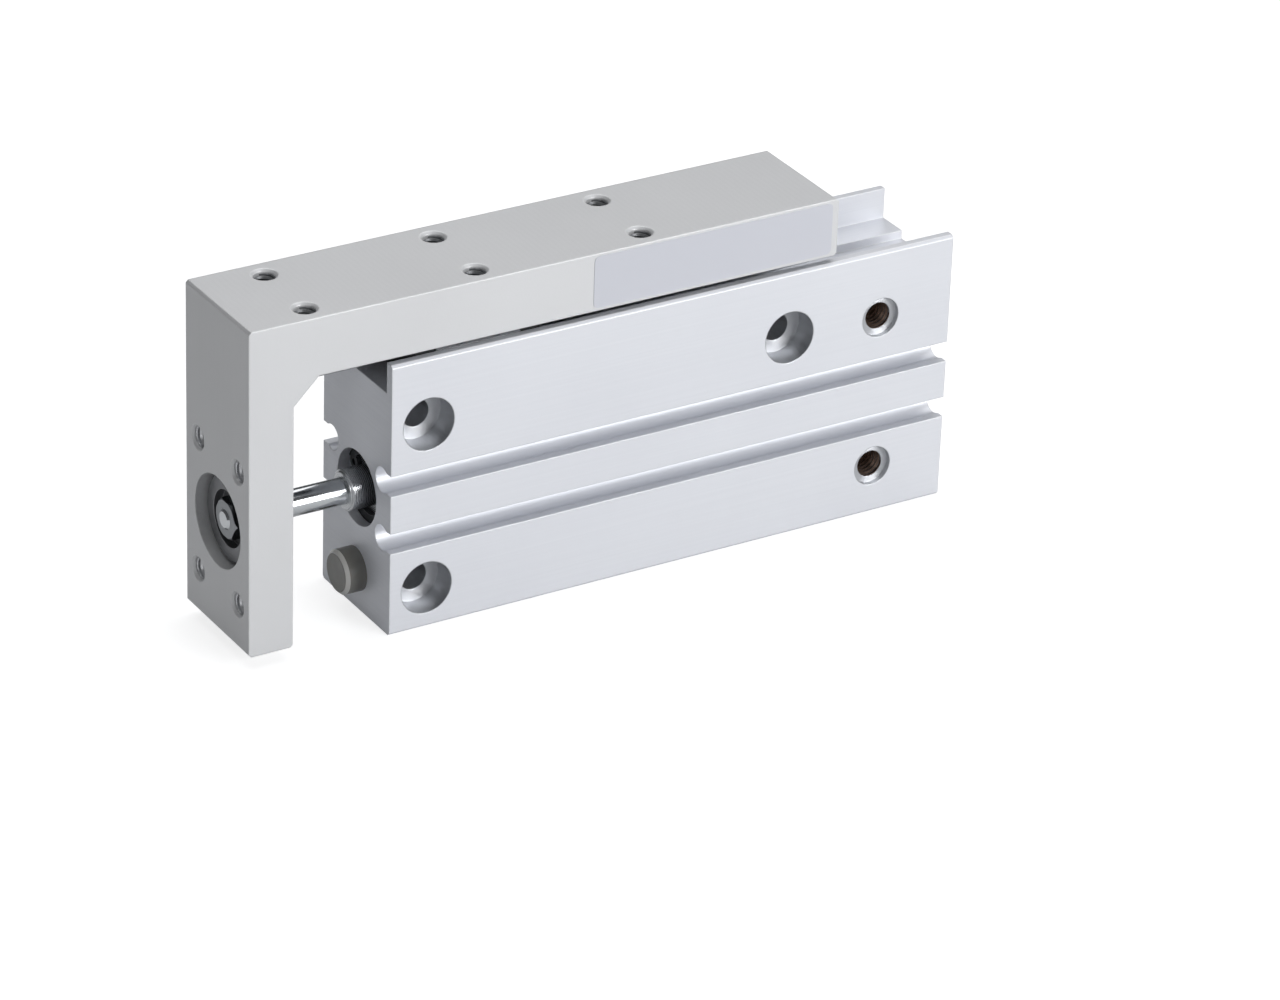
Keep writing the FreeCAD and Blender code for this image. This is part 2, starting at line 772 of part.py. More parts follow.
def piston_front():
    """Front half of the piston, with the seal groove and the spigot that carries the magnet."""
    outer = bore_diameter / 2 - bore_clearance
    inner = rod_stub_diameter / 2 + seat_clearance
    start = piston_front_face
    body_end = start + piston_front_length
    spigot_end = body_end + piston_magnet_length
    groove = start + (piston_front_length - piston_seal_width) / 2
    outline = [(start, inner), (start, outer), (groove, outer), (groove, piston_seal_floor / 2)]
    outline += [(groove + piston_seal_width, piston_seal_floor / 2), (groove + piston_seal_width, outer)]
    outline += [(body_end, outer), (body_end, piston_spigot_diameter / 2)]
    outline += [(spigot_end, piston_spigot_diameter / 2), (spigot_end, inner)]
    return turned(outline)


def piston_rear():
    """Rear half of the piston, a plain disc that clamps the magnet."""
    outer = bore_diameter / 2 - bore_clearance
    inner = rod_stub_diameter / 2 + seat_clearance
    start = piston_rear_face - piston_rear_length
    return turned([(start, inner), (start, outer), (piston_rear_face, outer), (piston_rear_face, inner)])


def piston_seal():
    """Piston seal with a small lip at each end of its outer face."""
    floor = piston_seal_floor / 2 + seat_clearance
    outer = bore_diameter / 2 - rod_clearance
    start = piston_front_face + (piston_front_length - piston_seal_width) / 2 + seat_clearance
    end = start + piston_seal_width - 2 * seat_clearance
    middle = (start + end) / 2
    outline = [(start, floor), (start, outer - 0.2), (start + 0.3, outer), (middle, outer - 0.3)]
    outline += [(end - 0.3, outer), (end, outer - 0.2), (end, floor)]
    return turned(outline)


def piston_magnet():
    """Ring magnet that the sensors in the slots pick up."""
    outer = bore_diameter / 2 - bore_clearance - magnet_recess
    inner = piston_spigot_diameter / 2 + seat_clearance
    end = piston_rear_face - piston_rear_length - seat_clearance
    start = end - piston_magnet_length + 2 * seat_clearance
    return turned([(start, inner), (start, outer), (end, outer), (end, inner)])


def front_cushion():
    """Urethane ring in front of the piston."""
    inner = rod_diameter / 2 + seat_clearance
    start = piston_front_face - cushion_thickness
    outline = [(start, inner), (start, cushion_diameter / 2 - 0.4), (start + 0.4, cushion_diameter / 2)]
    outline += [(piston_front_face, cushion_diameter / 2), (piston_front_face, inner)]
    return turned(outline)


def rear_cushion():
    """Urethane disc behind the piston, hollowed for the rivet head."""
    pocket = rivet_diameter / 2 + seat_clearance
    floor = piston_rear_face + rivet_thickness + seat_clearance
    end = piston_rear_face + cushion_thickness
    outline = [(floor, 0), (floor, pocket), (piston_rear_face, pocket), (piston_rear_face, cushion_diameter / 2)]
    outline += [(end - 0.4, cushion_diameter / 2), (end, cushion_diameter / 2 - 0.4), (end, 0)]
    return turned(outline)


MAKERS = [
    cylinder_body, rod_cover, rod_cover_o_ring, rod_seal, front_retaining_ring,
    head_cover, head_cover_o_ring, rear_retaining_ring, end_bumper, port_orifices, passage_plugs,
    guide_block, guide_end_caps, guide_end_seals, guide_balls, guide_return_balls,
    guide_block_screws, slide_table, guide_rail, rail_screws, rod_end_bush, rod_end_washer,
    rod_end_nut, piston_rod,
    piston_front, piston_rear, piston_seal, piston_magnet, front_cushion, rear_cushion,
]

os.makedirs("parts", exist_ok=True)
for maker in MAKERS:
    maker().exportStep("parts/" + maker.__name__ + ".step")
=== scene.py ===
import json
import math
import bmesh
import bpy
from mathutils import Matrix, Vector


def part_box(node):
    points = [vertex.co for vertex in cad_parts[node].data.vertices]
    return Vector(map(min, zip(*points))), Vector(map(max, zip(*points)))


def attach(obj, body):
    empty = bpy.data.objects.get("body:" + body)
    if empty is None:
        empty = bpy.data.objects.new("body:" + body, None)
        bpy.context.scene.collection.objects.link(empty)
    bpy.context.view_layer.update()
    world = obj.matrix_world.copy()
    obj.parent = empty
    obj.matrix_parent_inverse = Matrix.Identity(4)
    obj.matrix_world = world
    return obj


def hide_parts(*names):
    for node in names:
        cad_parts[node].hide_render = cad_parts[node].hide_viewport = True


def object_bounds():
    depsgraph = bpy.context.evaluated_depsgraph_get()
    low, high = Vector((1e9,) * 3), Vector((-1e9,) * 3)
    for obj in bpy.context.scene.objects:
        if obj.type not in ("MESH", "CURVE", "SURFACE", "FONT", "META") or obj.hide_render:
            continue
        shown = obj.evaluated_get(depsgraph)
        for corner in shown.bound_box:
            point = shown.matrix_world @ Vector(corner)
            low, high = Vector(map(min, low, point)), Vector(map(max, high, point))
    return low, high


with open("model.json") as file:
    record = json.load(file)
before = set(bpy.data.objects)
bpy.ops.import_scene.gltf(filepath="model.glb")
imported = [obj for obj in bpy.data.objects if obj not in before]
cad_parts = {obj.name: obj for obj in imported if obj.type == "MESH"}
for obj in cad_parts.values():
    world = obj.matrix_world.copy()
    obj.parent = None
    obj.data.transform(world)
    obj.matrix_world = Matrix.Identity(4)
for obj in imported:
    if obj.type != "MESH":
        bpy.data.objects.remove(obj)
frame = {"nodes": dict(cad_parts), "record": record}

cad_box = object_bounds()
nodes = frame["nodes"]

# ---- Cylinder body -------------------------------------------------------------------------
# One length of extruded aluminium, sawn off and clear anodised: an even pale satin with faint
# lines along the die's direction, saw marks on both ends and rubbed edges.  The counterbores and
# port faces were cut after the anodising, so they are bare bright metal with fine rings.


def linear(code):
    """Linear colour with alpha from an sRGB hex code."""
    parts = [int(code[i:i + 2], 16) / 255 for i in (1, 3, 5)]
    return [c / 12.92 if c <= 0.04045 else ((c + 0.055) / 1.055) ** 2.4 for c in parts] + [1.0]


def per_mm(size):
    """Pattern scale, in cells per metre, that makes one cell that many millimetres."""
    return 1000.0 / size


def add(tree, kind, settings=None, links=None):
    """New node with its settings, by attribute or input, and its links from (node, output)."""
    node = tree.nodes.new(kind)
    for key, value in (settings or {}).items():
        if isinstance(key, str) and hasattr(node, key):
            setattr(node, key, value)
        else:
            node.inputs[key].default_value = value
    link(tree, node, links or {})
    return node


def link(tree, target, links):
    """Links (node, output) pairs to the named inputs of one node."""
    for key, (source, output) in links.items():
        tree.links.new(source.outputs[output], target.inputs[key])


def noise(tree, place, size, detail):
    """Noise in the object's own coordinates, in cells of this many millimetres."""
    return add(tree, "ShaderNodeTexNoise", {"Scale": per_mm(size), "Detail": detail},
               {"Vector": (place, "Object")})


def run_lines(tree, place, sizes, settings):
    """Noise drawn out along an axis, in cells of these three millimetre sizes."""
    scale = tuple(per_mm(size) for size in sizes)
    drawn = add(tree, "ShaderNodeMapping", {"Scale": scale}, {"Vector": (place, "Object")})
    return add(tree, "ShaderNodeTexNoise", {"Scale": 1.0, **settings},
               {"Vector": (drawn, "Vector")})


def blend(tree, factor, first, second):
    """Mix of two colours, each one an sRGB hex code or a (node, output)."""
    settings = {"data_type": "RGBA"}
    links = {0: factor}
    for key, colour in ((6, first), (7, second)):
        if isinstance(colour, str):
            settings[key] = linear(colour)
        else:
            links[key] = colour
    return add(tree, "ShaderNodeMix", settings, links)


def maths(tree, operation, first, second=None, third=None):
    """Math node; each operand is a number or a (node, output)."""
    settings, links = {"operation": operation}, {}
    for key, operand in enumerate((first, second, third)):
        if isinstance(operand, tuple):
            links[key] = operand
        elif operand is not None:
            settings[key] = operand
    return add(tree, "ShaderNodeMath", settings, links)


def choose(tree, factor, first, second):
    """Mix of two single values by a factor, all from (node, output)."""
    return add(tree, "ShaderNodeMix", {"data_type": "FLOAT"}, {0: factor, 2: first, 3: second})


def spread(tree, source, low, high, start=0.0, stop=1.0):
    """Maps a value that runs from start to stop onto low to high, held at both ends."""
    return add(tree, "ShaderNodeMapRange",
               {"From Min": start, "From Max": stop, "To Min": low, "To Max": high},
               {"Value": source})


def ramp(tree, source, start, stop):
    """Rises from 0 where the value is start to 1 where it is stop."""
    return spread(tree, source, 0.0, 1.0, start, stop)


def bumps(tree, source, strength, distance, bevel=None):
    """Bump from a height, over the rounded normal where there is one."""
    links = {"Height": source}
    if bevel:
        links["Normal"] = (bevel, "Normal")
    return add(tree, "ShaderNodeBump", {"Strength": strength, "Distance": distance}, links)


def start_material(name, settings):
    """Material with a Principled shader; gives back the material, its tree and the shader."""
    material = bpy.data.materials.new(name)
    material.use_nodes = True
    tree = material.node_tree
    tree.nodes.clear()
    shader = add(tree, "ShaderNodeBsdfPrincipled", settings)
    add(tree, "ShaderNodeOutputMaterial", links={"Surface": (shader, "BSDF")})
    return material, tree, shader


def finish_with(material, *names):
    """Gives these CAD nodes one material."""
    for name in names:
        for place in nodes[name].material_slots:
            place.material = material


def rounded(tree, radius_mm):
    """Normal that rounds the edges to a radius."""
    return add(tree, "ShaderNodeBevel", {"samples": 4, "Radius": radius_mm / 1000})


def edge_wear(tree, bevel):
    """Factor that rises from 0 on the flats to 1 along the edges that this bevel rounds."""
    flat = add(tree, "ShaderNodeNewGeometry")
    turn = add(tree, "ShaderNodeVectorMath", {"operation": "DOT_PRODUCT"},
               {0: (bevel, "Normal"), 1: (flat, "True Normal")})
    return ramp(tree, (turn, "Value"), 0.995, 0.90)


extrusion, tree, shader = start_material("anodised aluminium, extruded", {})
place = add(tree, "ShaderNodeTexCoord")
die_lines = run_lines(tree, place, (70, 0.45, 0.45), {"Detail": 3.0, "Roughness": 0.6})
saw_lines = run_lines(tree, place, (5, 14, 0.28), {"Detail": 2.0})
facing = add(tree, "ShaderNodeSeparateXYZ", links={"Vector": (place, "Normal")})
endways = maths(tree, "ABSOLUTE", (facing, "X"))
is_end = ramp(tree, (endways, "Value"), 0.85, 0.95)
lay = choose(tree, (is_end, "Result"), (die_lines, "Fac"), (saw_lines, "Fac"))
grain = noise(tree, place, 0.3, 2.0)
cloud = noise(tree, place, 22, 3.0)
bevel = rounded(tree, 0.25)
edge = edge_wear(tree, bevel)
tint = blend(tree, (cloud, "Fac"), "#D6D8DE", "#DEE0E5")
streak = spread(tree, (lay, "Result"), 0.0, 0.10, 0.3, 0.7)
lined = blend(tree, (streak, "Result"), (tint, "Result"), "#C2C5CC")
rub = maths(tree, "MULTIPLY", (edge, "Result"), 0.7)
worn = blend(tree, (rub, "Value"), (lined, "Result"), "#F1F2F4")
gloss = spread(tree, (lay, "Result"), 0.42, 0.52, 0.3, 0.7)
relief = maths(tree, "MULTIPLY_ADD", (grain, "Fac"), 0.5, (lay, "Result"))

mounts = {mount["name"]: mount for mount in frame["record"]["mounts"]}
counterbore_radius = 0.0041
port_face_radius = 0.0031
front_holes = mounts["side_holes_front"]
upper_holes = mounts["side_holes_upper"]
front_x = front_holes["pos_m"][0]
rear_x = front_x + upper_holes["dims"]["spacing_x_mm"] / 1000
upper_z = upper_holes["pos_m"][2]
lower_z = upper_z - front_holes["dims"]["spacing_y_mm"] / 1000
cuts = [((x, 0, z), counterbore_radius)
        for x, z in ((front_x, upper_z), (front_x, lower_z), (rear_x, upper_z))]
for port in ("upper_port", "lower_port"):
    x, y, z = mounts[port]["pos_m"]
    cuts.append(((x, 0, z), port_face_radius))
side_on = add(tree, "ShaderNodeVectorMath", {"operation": "MULTIPLY", 1: (1, 0, 1)},
              {0: (place, "Object")})
nearest = None
for centre, radius in cuts:
    away = add(tree, "ShaderNodeVectorMath", {"operation": "DISTANCE", 1: centre},
               {0: (side_on, "Vector")})
    share = maths(tree, "DIVIDE", (away, "Value"), radius)
    if nearest:
        share = maths(tree, "MINIMUM", (nearest, "Value"), (share, "Value"))
    nearest = share
inside = ramp(tree, (nearest, "Value"), 1.03, 1.01)
depth = add(tree, "ShaderNodeSeparateXYZ", links={"Vector": (place, "Object")})
skin = 0.0001
far_side = cad_box[1].y
before = ramp(tree, (depth, "Y"), far_side - skin, far_side - 2 * skin)
bare = maths(tree, "MULTIPLY", (inside, "Result"), (before, "Result"))
rings_per_radius = 27
turns = maths(tree, "MULTIPLY", (nearest, "Value"), 2 * math.pi * rings_per_radius)
ringed = maths(tree, "SINE", (turns, "Value"))
surface = choose(tree, (bare, "Value"), (relief, "Value"), (ringed, "Value"))
colour = blend(tree, (bare, "Value"), (worn, "Result"), "#BFC1C5")
sheen = add(tree, "ShaderNodeMix", {"data_type": "FLOAT", 3: 0.32},
            {0: (bare, "Value"), 2: (gloss, "Result")})
metal = spread(tree, (bare, "Value"), 0.35, 0.80)
bump = bumps(tree, (surface, "Result"), 0.35, 0.00003, bevel)
link(tree, shader, {"Base Color": (colour, "Result"), "Metallic": (metal, "Result"),
                    "Roughness": (sheen, "Result"), "Normal": (bump, "Normal")})
finish_with(extrusion, "cylinder_body")

# ---- Threads in the air ports --------------------------------------------------------------
# Both ports are tapped M5 x 0.8 after the anodising; their threads are painted dark brown as the
# shade deep in the ports.
# The solids have plain holes, so each thread is one helical ridge on the hole's wall.


crease = math.radians(40)


def new_piece(name, mesh, material, body):
    """Scene object from a finished bmesh, on one body, with one material slot."""
    data = bpy.data.meshes.new(name)
    bmesh.ops.recalc_face_normals(mesh, faces=mesh.faces)
    mesh.to_mesh(data)
    mesh.free()
    data.materials.append(material)
    data.polygons.foreach_set("use_smooth", [True] * len(data.polygons))
    piece = bpy.data.objects.new(name, data)
    bpy.context.scene.collection.objects.link(piece)
    data.set_sharp_from_angle(angle=crease)
    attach(piece, body)
    return piece


def frame_along(mouth, inward):
    """Matrix that puts local +Z along a hole, with the origin at its mouth."""
    turn = Vector((0, 0, 1)).rotation_difference(Vector(inward)).to_matrix().to_4x4()
    return Matrix.Translation(Vector(mouth)) @ turn


def wind_thread(mesh, place, radius, height, pitch, length, steps=28):
    """Adds one helical ridge that stands in from a hole's wall, fading out at both ends."""
    half = pitch * 0.42
    total = int(length / pitch * steps)
    rings = []
    for i in range(total + 1):
        angle = 2 * math.pi * i / steps
        along = length * i / total
        fade = min(1.0, i / steps * 2, (total - i) / steps * 2)
        section = [(radius, along - half), (radius - height * fade, along), (radius, along + half)]
        ring = []
        for r, z in section:
            z = min(max(z, 0.0), length)
            point = Vector((r * math.cos(angle), r * math.sin(angle), z))
            ring.append(mesh.verts.new(place @ point))
        rings.append(ring)
    for a, b in zip(rings, rings[1:]):
        for j in range(3):
            k = (j + 1) % 3
            mesh.faces.new((a[j], a[k], b[k], b[j]))
    mesh.faces.new(rings[0])
    mesh.faces.new(rings[-1])


def tapped(name, dark, light):
    """Metal that a tap has cut: torn in patches between two colours, with a short chatter."""
    material, tree, shader = start_material(name, {"Metallic": 0.9})
    place = add(tree, "ShaderNodeTexCoord")
    chatter = noise(tree, place, 0.5, 3.0)
    tint = blend(tree, (chatter, "Fac"), dark, light)
    gloss = spread(tree, (chatter, "Fac"), 0.38, 0.55)
    bump = bumps(tree, (chatter, "Fac"), 0.3, 0.00002)
    link(tree, shader, {"Base Color": (tint, "Result"), "Roughness": (gloss, "Result"),
                        "Normal": (bump, "Normal")})
    return material


# Dark brown threads: painted shade for the deep inside of the ports.
port_shade_thread = tapped("aluminium, tapped, with painted shade", "#5A4A42", "#8E7A6E")
port_pitch = 0.0008
port_ridge = 0.00022
for port in ("upper_port", "lower_port"):
    mount = mounts[port]
    mesh = bmesh.new()
    inward = -Vector(mount["axis"])
    mouth = frame_along(mount["pos_m"], inward)
    wind_thread(mesh, mouth, mount["dims"]["r_mm"] / 1000, port_ridge, port_pitch,
                mount["dims"]["length_mm"] / 1000)
    new_piece(port + "_thread", mesh, port_shade_thread, "cylinder")

# ---- Rod cover and head cover --------------------------------------------------------------
# Turned from aluminium bar and left bare: the lathe leaves fine rings about the rod's axis.  The
# piston's two halves are turned the same way.

bore_height = (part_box("rod_cover")[0].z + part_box("rod_cover")[1].z) / 2


def crests(feed):
    """Wave texture scale that puts its crests one feed apart, in metres."""
    return math.pi / 10 / feed


def tool_marks(tree, place, feed, settings):
    """Wave with one crest per feed, in coordinates centred on the bore's axis."""
    centred = add(tree, "ShaderNodeMapping", {"Location": (0, 0, -bore_height)},
                  {"Vector": (place, "Object")})
    return add(tree, "ShaderNodeTexWave", {"Scale": crests(feed), **settings},
               {"Vector": (centred, "Vector")})


rings_round_x = {"wave_type": "RINGS", "rings_direction": "X"}
turned_bar, tree, shader = start_material(
    "aluminium, turned", {"Base Color": linear("#BFC1C4"), "Metallic": 1.0})
place = add(tree, "ShaderNodeTexCoord")
lathe_feed = 0.00028
rings = tool_marks(tree, place, lathe_feed, {**rings_round_x, "Distortion": 0.4})
along = tool_marks(tree, place, lathe_feed, {"wave_type": "BANDS", "Distortion": 0.4})
marks = maths(tree, "ADD", (rings, "Fac"), (along, "Fac"))
gloss = spread(tree, (marks, "Value"), 0.20, 0.36, 0.0, 2.0)
bump = bumps(tree, (marks, "Value"), 0.4, 0.00003)
link(tree, shader, {"Roughness": (gloss, "Result"), "Normal": (bump, "Normal")})
finish_with(turned_bar, "rod_cover", "head_cover", "piston_front", "piston_rear")

# ---- Seals and O-rings ---------------------------------------------------------------------
# Moulded nitrile rubber: near black and matt, with a slight uneven sheen of grease.  The guide's
# wipers are of the same rubber.

nitrile, tree, shader = start_material(
    "nitrile rubber, moulded", {"Base Color": linear("#1E1E1F"), "IOR": 1.52})
place = add(tree, "ShaderNodeTexCoord")
skin = noise(tree, place, 0.4, 3.0)
smear = noise(tree, place, 4, 2.0)
gloss = spread(tree, (smear, "Fac"), 0.38, 0.75)
bump = bumps(tree, (skin, "Fac"), 0.3, 0.00003)
link(tree, shader, {"Roughness": (gloss, "Result"), "Normal": (bump, "Normal")})
finish_with(nitrile, "rod_cover_o_ring", "rod_seal", "head_cover_o_ring", "guide_end_seals",
            "piston_seal")

# ---- Retaining rings -----------------------------------------------------------------------
# Stamped spring steel with a manganese phosphate coat: grey-black crystals that hold oil, worn
# to a paler grey along the sharp edges.

phosphate, tree, shader = start_material(
    "spring steel, phosphated", {"Metallic": 0.6, "Roughness": 0.5})
place = add(tree, "ShaderNodeTexCoord")
crystals = add(tree, "ShaderNodeTexVoronoi", {"Scale": per_mm(0.18)}, {"Vector": (place, "Object")})
bevel = rounded(tree, 0.08)
edge = edge_wear(tree, bevel)
dark = blend(tree, (crystals, "Distance"), "#2B2C2E", "#46484B")
worn = blend(tree, (edge, "Result"), (dark, "Result"), "#8D8F92")
bump = bumps(tree, (crystals, "Distance"), 0.35, 0.00002, bevel)
link(tree, shader, {"Base Color": (worn, "Result"), "Normal": (bump, "Normal")})
finish_with(phosphate, "front_retaining_ring", "rear_retaining_ring")

# ---- End bumper and cushions ---------------------------------------------------------------
# Moulded urethane, grey-brown and glossy, pressed in by a stem or bonded to the piston.  The
# chamfer is painted paler than the skin, as a painted highlight along the rim.

urethane, tree, shader = start_material(
    "urethane, moulded", {"IOR": 1.5, "Subsurface Weight": 0.05, "Subsurface Scale": 0.0006})
place = add(tree, "ShaderNodeTexCoord")
haze = noise(tree, place, 3, 4.0)
pores = noise(tree, place, 0.25, 2.0)
tint = blend(tree, (haze, "Fac"), "#6C6B67", "#807F7A")
gloss = spread(tree, (haze, "Fac"), 0.16, 0.30)
bevel = rounded(tree, 0.3)
# The chamfer, found by its normal at 45 degrees to the axis, is painted pale: a painted highlight.
facing = add(tree, "ShaderNodeSeparateXYZ", links={"Vector": (place, "Normal")})
squared = maths(tree, "POWER", (facing, "X"), 2.0)
centred = maths(tree, "MULTIPLY_ADD", (squared, "Value"), 2.0, -1.0)
off_axis = maths(tree, "ABSOLUTE", (centred, "Value"))
chamfer_highlight_mask = ramp(tree, (off_axis, "Value"), 0.8, 0.2)
painted_chamfer_highlight = blend(tree, (chamfer_highlight_mask, "Result"), (tint, "Result"), "#C6C5C2")
bump = bumps(tree, (pores, "Fac"), 0.25, 0.00003, bevel)
link(tree, shader, {"Base Color": (painted_chamfer_highlight, "Result"), "Roughness": (gloss, "Result"),
                    "Normal": (bump, "Normal")})
finish_with(urethane, "end_bumper", "front_cushion", "rear_cushion")

# ---- Port orifices -------------------------------------------------------------------------
# Small turned brass discs pressed in below the port threads.  Oil and tarnish turn them brown
# in patches.

brass, tree, shader = start_material("brass, turned", {"Metallic": 1.0})
place = add(tree, "ShaderNodeTexCoord")
tarnish = noise(tree, place, 1.2, 4.0)
tint = blend(tree, (tarnish, "Fac"), "#8F6A40", "#5E4630")
gloss = spread(tree, (tarnish, "Fac"), 0.25, 0.45)
bump = bumps(tree, (tarnish, "Fac"), 0.2, 0.00002)
link(tree, shader, {"Base Color": (tint, "Result"), "Roughness": (gloss, "Result"),
                    "Normal": (bump, "Normal")})
finish_with(brass, "port_orifices")

# ---- Guide block, rail and plugs -----------------------------------------------------------
# Through-hardened bearing steel, ground: bright grey with fine scratches along the stroke.  The
# two pins that close the air drillings are of the same steel.

bearing_steel, tree, shader = start_material("bearing steel, ground", {"Metallic": 1.0})
place = add(tree, "ShaderNodeTexCoord")
scratch = run_lines(tree, place, (25, 0.22, 0.22), {"Detail": 4.0, "Roughness": 0.7})
bevel = rounded(tree, 0.12)
tint = blend(tree, (scratch, "Fac"), "#9C9EA1", "#B4B6B9")
gloss = spread(tree, (scratch, "Fac"), 0.18, 0.36)
bump = bumps(tree, (scratch, "Fac"), 0.3, 0.00002, bevel)
link(tree, shader, {"Base Color": (tint, "Result"), "Roughness": (gloss, "Result"),
                    "Normal": (bump, "Normal")})
finish_with(bearing_steel, "guide_block", "guide_rail", "passage_plugs", "guide_balls",
            "guide_return_balls")

# ---- Bearing balls -------------------------------------------------------------------------
# Lapped chrome steel, one row carrying load and one returning on each side of the rail.  They
# are drawn round here in place of the solids' faceted balls, which fit inside the same sphere.

lapped, tree, shader = start_material(
    "bearing steel, lapped", {"Base Color": linear("#B9BBBE"), "Metallic": 1.0})
place = add(tree, "ShaderNodeTexCoord")
oil = noise(tree, place, 0.8, 2.0)
gloss = spread(tree, (oil, "Fac"), 0.04, 0.14)
link(tree, shader, {"Roughness": (gloss, "Result")})

balls_per_row = 12
drawn_share = (1 + math.sqrt(2)) / math.sqrt(5 + 2 * math.sqrt(2))
for name in ("guide_balls", "guide_return_balls"):
    low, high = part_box(name)
    half = (high.z - low.z) / 2
    radius = half / drawn_share
    pitch = (high.x - low.x - 2 * half) / (balls_per_row - 1)
    mesh = bmesh.new()
    for side in (low.y + half, high.y - half):
        for i in range(balls_per_row):
            centre = Vector((low.x + half + i * pitch, side, low.z + half))
            bmesh.ops.create_uvsphere(mesh, u_segments=20, v_segments=12, radius=radius,
                                      matrix=Matrix.Translation(centre))
    balls = new_piece("lapped_" + name, mesh, lapped, "cylinder")
    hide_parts(name)

# ---- Guide end caps ------------------------------------------------------------------------
# Injection moulded acetal, black and faintly glossy.  The spark-eroded mould leaves a soft, fine
# texture.

acetal, tree, shader = start_material(
    "acetal, injection moulded", {"Base Color": linear("#26282A"), "IOR": 1.48})
place = add(tree, "ShaderNodeTexCoord")
spark = noise(tree, place, 0.2, 3.0)
gloss = spread(tree, (spark, "Fac"), 0.32, 0.5)
bevel = rounded(tree, 0.1)
bump = bumps(tree, (spark, "Fac"), 0.25, 0.00002, bevel)
link(tree, shader, {"Roughness": (gloss, "Result"), "Normal": (bump, "Normal")})
finish_with(acetal, "guide_end_caps")

# ---- Screws --------------------------------------------------------------------------------
# Cold headed stainless steel: dull grey with a rolled grain, brighter on the driven edges.  The
# washer at the rod's end has the same finish.

stainless, tree, shader = start_material("stainless steel, cold headed", {"Metallic": 1.0})
place = add(tree, "ShaderNodeTexCoord")
rolled = noise(tree, place, 0.5, 4.0)
bevel = rounded(tree, 0.1)
edge = edge_wear(tree, bevel)
tint = blend(tree, (rolled, "Fac"), "#94959A", "#A9AAAE")
worn = blend(tree, (edge, "Result"), (tint, "Result"), "#D0D1D3")
gloss = spread(tree, (rolled, "Fac"), 0.25, 0.42)
bump = bumps(tree, (rolled, "Fac"), 0.25, 0.00002, bevel)
link(tree, shader, {"Base Color": (worn, "Result"), "Roughness": (gloss, "Result"),
                    "Normal": (bump, "Normal")})
finish_with(stainless, "guide_block_screws", "rail_screws", "rod_end_washer")

# ---- End cap screws ------------------------------------------------------------------------
# Two tiny socket screws at each end hold the wiper and its cap to the steel block.  Only their
# heads are drawn, standing on the wiper's outer face.


def turn(mesh, place, outline, steps, hexagon_from):
    """Adds a closed turned form from (along, radius) points, hexagonal from hexagon_from on."""
    rings = []
    for number, (along, radius) in enumerate(outline):
        ring = []
        for i in range(steps):
            angle = 2 * math.pi * i / steps
            r = radius
            if number >= hexagon_from:
                r = radius / math.cos((angle % (math.pi / 3)) - math.pi / 6)
            point = Vector((r * math.cos(angle), r * math.sin(angle), along))
            ring.append(mesh.verts.new(place @ point))
        rings.append(ring)
    for a, b in zip(rings, rings[1:]):
        for i in range(steps):
            k = (i + 1) % steps
            mesh.faces.new((a[i], a[k], b[k], b[i]))
    mesh.faces.new(rings[0])
    mesh.faces.new(rings[-1])


low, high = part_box("guide_end_seals")
screw_from_side = 0.0016
screw_height = 0.0016
head_radius = 0.0011
head_height = 0.0007
socket = 0.00045
side_height = head_height * 0.8
crown_radius = head_radius * 0.86
socket_floor = head_height * 0.35
mesh = bmesh.new()
for x, outward in ((low.x, -1), (high.x, 1)):
    for y in (low.y + screw_from_side, high.y - screw_from_side):
        seat = frame_along((x, y, low.z + screw_height), (outward, 0, 0))
        outline = [(0, head_radius), (side_height, head_radius), (head_height, crown_radius),
                   (head_height, socket), (socket_floor, socket)]
        turn(mesh, seat, outline, steps=24, hexagon_from=3)
new_piece("end_cap_screw_heads", mesh, stainless, "cylinder")

# ---- Slide table ---------------------------------------------------------------------------
# Milled from one aluminium section, end plate and all, then clear anodised.  The cutter's feed
# leaves faint curved lines on the flats, and the corners are deburred to a thin bright line.

milled, tree, shader = start_material("anodised aluminium, milled", {"Metallic": 0.35})
place = add(tree, "ShaderNodeTexCoord")
mill_feed = 0.0009
sweep = add(tree, "ShaderNodeMapping", {"Location": (0.5, 0, 0)}, {"Vector": (place, "Object")})
arcs = add(tree, "ShaderNodeTexWave",
           {"wave_type": "RINGS", "rings_direction": "Z", "Scale": crests(mill_feed),
            "Distortion": 1.5, "Detail": 2.0, "Detail Scale": 1.5},
           {"Vector": (sweep, "Vector")})
mill_lines = run_lines(tree, place, (30, 0.35, 0.35), {"Detail": 3.0})
facing = add(tree, "ShaderNodeSeparateXYZ", links={"Vector": (place, "Normal")})
upward = maths(tree, "ABSOLUTE", (facing, "Z"))
is_flat = ramp(tree, (upward, "Value"), 0.85, 0.95)
plate_lines = run_lines(tree, place, (0.5, 0.5, 30), {"Detail": 3.0})
where = add(tree, "ShaderNodeSeparateXYZ", links={"Vector": (place, "Object")})
plate_thickness = 0.007
plate_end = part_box("slide_table")[0].x + plate_thickness
plate_blend = 0.0005
in_plate = ramp(tree, (where, "X"), plate_end + plate_blend, plate_end)
side_lines = choose(tree, (in_plate, "Result"), (mill_lines, "Fac"), (plate_lines, "Fac"))
lay = choose(tree, (is_flat, "Result"), (side_lines, "Result"), (arcs, "Fac"))
grain = noise(tree, place, 0.3, 2.0)
cloud = noise(tree, place, 25, 3.0)
bevel = rounded(tree, 0.3)
edge = edge_wear(tree, bevel)
tint = blend(tree, (cloud, "Fac"), "#CDCED0", "#D6D7D9")
rub = maths(tree, "MULTIPLY", (edge, "Result"), 0.7)
worn = blend(tree, (rub, "Value"), (tint, "Result"), "#F0F1F2")
gloss = spread(tree, (lay, "Result"), 0.42, 0.50, 0.2, 0.8)
